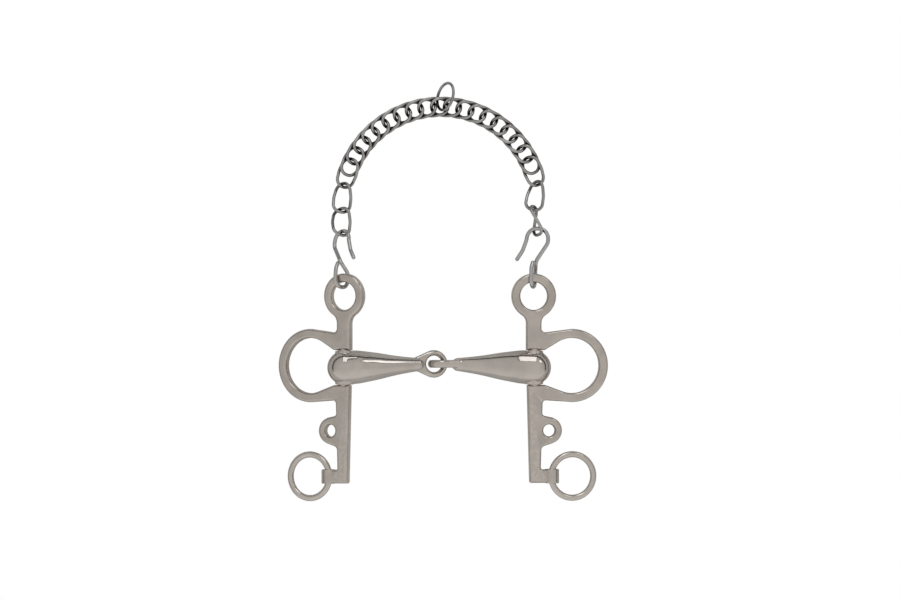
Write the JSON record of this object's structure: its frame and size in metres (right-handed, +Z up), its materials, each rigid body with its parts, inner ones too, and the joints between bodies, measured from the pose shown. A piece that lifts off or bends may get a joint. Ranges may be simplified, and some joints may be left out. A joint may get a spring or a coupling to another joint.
{
  "type": "jointed curb bit",
  "caption": "Jointed horse bit with swivelling D-ring cheeks, loose lower rein rings, wire curb hooks and a double-woven curb chain.",
  "frame": {"origin": "under the middle of the bit's bounding box, on the table it lies on", "axes": "+X from the left cheek to the right cheek, +Y from the rein rings to the curb chain, +Z up from the table"},
  "size_m": [0.242, 0.308, 0.0419],
  "materials": {
    "mouthpiece": "polished stainless steel",
    "cheek": "polished stainless steel",
    "ring": "polished stainless steel",
    "hook": "bright stainless wire",
    "chain": "tumbled stainless wire"
  },
  "bodies": {
    "right_arm": {"right_arm": "mouthpiece"},
    "left_arm": {"left_arm": "mouthpiece"},
    "right_cheek": {"right_cheek": "cheek"},
    "left_cheek": {"left_cheek": "cheek"},
    "right_rein_ring": {"right_rein_ring": "ring"},
    "left_rein_ring": {"left_rein_ring": "ring"},
    "right_curb_hook": {"right_curb_hook": "hook"},
    "left_curb_hook": {"left_curb_hook": "hook"},
    "fly_link": {"fly_link": "chain"},
    "left_end_link_1": {"left_end_link_1": "chain"},
    "right_end_link_1": {"right_end_link_1": "chain"},
    "chain_link_01": {"chain_link_01": "chain"},
    "chain_link_02": {"chain_link_02": "chain"},
    "chain_link_03": {"chain_link_03": "chain"},
    "chain_link_04": {"chain_link_04": "chain"},
    "chain_link_05": {"chain_link_05": "chain"},
    "chain_link_06": {"chain_link_06": "chain"},
    "chain_link_07": {"chain_link_07": "chain"},
    "chain_link_08": {"chain_link_08": "chain"},
    "chain_link_09": {"chain_link_09": "chain"},
    "chain_link_10": {"chain_link_10": "chain"},
    "chain_link_11": {"chain_link_11": "chain"},
    "chain_link_12": {"chain_link_12": "chain"},
    "chain_link_13": {"chain_link_13": "chain"},
    "chain_link_14": {"chain_link_14": "chain"},
    "chain_link_15": {"chain_link_15": "chain"},
    "chain_link_16": {"chain_link_16": "chain"},
    "chain_link_17": {"chain_link_17": "chain"},
    "chain_link_18": {"chain_link_18": "chain"},
    "right_end_link_2": {"right_end_link_2": "chain"},
    "left_end_link_2": {"left_end_link_2": "chain"},
    "right_end_link_3": {"right_end_link_3": "chain"},
    "left_end_link_3": {"left_end_link_3": "chain"}
  },
  "joints": [
    {"name": "centre_joint", "type": "hinge", "parent": "right_arm", "child": "left_arm", "pos_m": [-0.00123, -0.05328, 0.0103], "axis": [0, 1, 0], "range_deg": [-50, 50]},
    {"name": "right_swivel", "type": "hinge", "parent": "right_arm", "child": "right_cheek", "pos_m": [0.06668, -0.05588, 0.01262], "axis": [0, 1, 0], "range_deg": [-8, 60]},
    {"name": "left_swivel", "type": "hinge", "parent": "left_arm", "child": "left_cheek", "pos_m": [-0.07251, -0.05588, 0.02959], "axis": [0, 1, 0], "range_deg": [-80, 80]},
    {"name": "right_ring_swing", "type": "hinge", "parent": "right_cheek", "child": "right_rein_ring", "pos_m": [0.07967, -0.13568, 0.01029], "axis": [0, 1, 0], "range_deg": [-85, 85]},
    {"name": "left_ring_swing", "type": "hinge", "parent": "left_cheek", "child": "left_rein_ring", "pos_m": [-0.08395, -0.13568, 0.02299], "axis": [0, 1, 0], "range_deg": [-85, 85]},
    {"name": "right_hook_swing", "type": "hinge", "parent": "right_cheek", "child": "right_curb_hook", "pos_m": [0.06629, 0.00987, 0.01269], "axis": [0.9842, 0, -0.1771], "range_deg": [-2, 2]},
    {"name": "left_hook_swing", "type": "hinge", "parent": "left_cheek", "child": "left_curb_hook", "pos_m": [-0.07742, 0.00841, 0.02676], "axis": [0.7716, 0.454, 0.4455], "range_deg": [-8, 0.5]},
    {"name": "left_end_3_swing", "type": "hinge", "parent": "left_curb_hook", "child": "left_end_link_3", "pos_m": [-0.07466, 0.0441, 0.0161], "axis": [0.6498, 0.1414, 0.7468], "range_deg": [-4, 0.4]},
    {"name": "left_end_2_swing", "type": "hinge", "parent": "left_end_link_3", "child": "left_end_link_2", "pos_m": [-0.07499, 0.06067, 0.00808], "axis": [-0.8072, -0.2552, -0.5323], "range_deg": [-0.4, 4]},
    {"name": "left_end_1_swing", "type": "hinge", "parent": "left_end_link_2", "child": "left_end_link_1", "pos_m": [-0.07331, 0.07923, 0.00517], "axis": [-0.6657, -0.0741, -0.7425], "range_deg": [-0.4, 6]},
    {"name": "weave_01", "type": "hinge", "parent": "left_end_link_1", "child": "chain_link_01", "pos_m": [-0.06867, 0.09118, 0.0054], "axis": [-0.9219, 0.3875, 0], "range_deg": [-6, 3]},
    {"name": "weave_02", "type": "hinge", "parent": "chain_link_01", "child": "chain_link_02", "pos_m": [-0.0645, 0.09954, 0.0054], "axis": [-0.8643, 0.503, 0], "range_deg": [-6, 2]},
    {"name": "weave_03", "type": "hinge", "parent": "chain_link_02", "child": "chain_link_03", "pos_m": [-0.05929, 0.10729, 0.0054], "axis": [-0.7923, 0.6101, 0], "range_deg": [-5, 1.5]},
    {"name": "weave_04", "type": "hinge", "parent": "chain_link_03", "child": "chain_link_04", "pos_m": [-0.05312, 0.11431, 0.0054], "axis": [-0.7071, 0.7071, 0], "range_deg": [-3, 1]},
    {"name": "weave_05", "type": "hinge", "parent": "chain_link_04", "child": "chain_link_05", "pos_m": [-0.0461, 0.12048, 0.0054], "axis": [-0.6101, 0.7923, 0], "range_deg": [-3, 1]},
    {"name": "weave_06", "type": "hinge", "parent": "chain_link_05", "child": "chain_link_06", "pos_m": [-0.03835, 0.12569, 0.0054], "axis": [-0.503, 0.8643, 0], "range_deg": [-2.5, 1]},
    {"name": "weave_07", "type": "hinge", "parent": "chain_link_06", "child": "chain_link_07", "pos_m": [-0.02999, 0.12986, 0.0054], "axis": [-0.3875, 0.9219, 0], "range_deg": [-2, 0.5]},
    {"name": "weave_08", "type": "hinge", "parent": "chain_link_07", "child": "chain_link_08", "pos_m": [-0.02116, 0.13292, 0.0054], "axis": [-0.2656, 0.9641, 0], "range_deg": [-2, 0.5]},
    {"name": "weave_09", "type": "hinge", "parent": "chain_link_08", "child": "chain_link_09", "pos_m": [-0.01201, 0.13481, 0.0054], "axis": [-0.1392, 0.9903, 0], "range_deg": [-2, 0.5]},
    {"name": "weave_10", "type": "hinge", "parent": "chain_link_09", "child": "chain_link_10", "pos_m": [-0.00269, 0.13551, 0.0054], "axis": [-0.0105, 0.9999, 0], "range_deg": [-2, 0.5]},
    {"name": "weave_11", "type": "hinge", "parent": "chain_link_10", "child": "chain_link_11", "pos_m": [0.00664, 0.13501, 0.0054], "axis": [0.1184, 0.993, 0], "range_deg": [-1.5, 0.5]},
    {"name": "weave_12", "type": "hinge", "parent": "chain_link_11", "child": "chain_link_12", "pos_m": [0.01583, 0.13331, 0.0054], "axis": [0.2453, 0.9694, 0], "range_deg": [-1.5, 0.5]},
    {"name": "weave_13", "type": "hinge", "parent": "chain_link_12", "child": "chain_link_13", "pos_m": [0.02472, 0.13043, 0.0054], "axis": [0.3681, 0.9298, 0], "range_deg": [-1.5, 0.5]},
    {"name": "weave_14", "type": "hinge", "parent": "chain_link_13", "child": "chain_link_14", "pos_m": [0.03317, 0.12644, 0.0054], "axis": [0.4848, 0.8746, 0], "range_deg": [-1.5, 0.5]},
    {"name": "weave_15", "type": "hinge", "parent": "chain_link_14", "child": "chain_link_15", "pos_m": [0.04103, 0.12139, 0.0054], "axis": [0.5934, 0.8049, 0], "range_deg": [-2, 0.5]},
    {"name": "weave_16", "type": "hinge", "parent": "chain_link_15", "child": "chain_link_16", "pos_m": [0.04818, 0.11537, 0.0054], "axis": [0.6921, 0.7218, 0], "range_deg": [-2, 0.5]},
    {"name": "weave_17", "type": "hinge", "parent": "chain_link_16", "child": "chain_link_17", "pos_m": [0.0545, 0.10848, 0.0054], "axis": [0.7793, 0.6266, 0], "range_deg": [-2, 1]},
    {"name": "weave_18", "type": "hinge", "parent": "chain_link_17", "child": "chain_link_18", "pos_m": [0.05987, 0.10084, 0.0054], "axis": [0.8536, 0.521, 0], "range_deg": [-2.5, 1]},
    {"name": "weave_19", "type": "hinge", "parent": "chain_link_18", "child": "right_end_link_1", "pos_m": [0.06421, 0.09257, 0.0054], "axis": [0.9135, 0.4067, 0], "range_deg": [-3, 1]},
    {"name": "right_end_2_swing", "type": "hinge", "parent": "right_end_link_1", "child": "right_end_link_2", "pos_m": [0.06969, 0.07818, 0.0054], "axis": [0.769, 0.2845, -0.5724], "range_deg": [-6, 4]},
    {"name": "right_end_3_swing", "type": "hinge", "parent": "right_end_link_2", "child": "right_end_link_3", "pos_m": [0.06588, 0.05975, 0.008], "axis": [0.9689, -0.1866, -0.1623], "range_deg": [-10, 8]},
    {"name": "fly_swing", "type": "hinge", "parent": "chain_link_09", "child": "fly_link", "pos_m": [0.00074, 0.14205, 0.0054], "axis": [0.9999, 0.0105, 0], "range_deg": [-12, 4]}
  ]
}
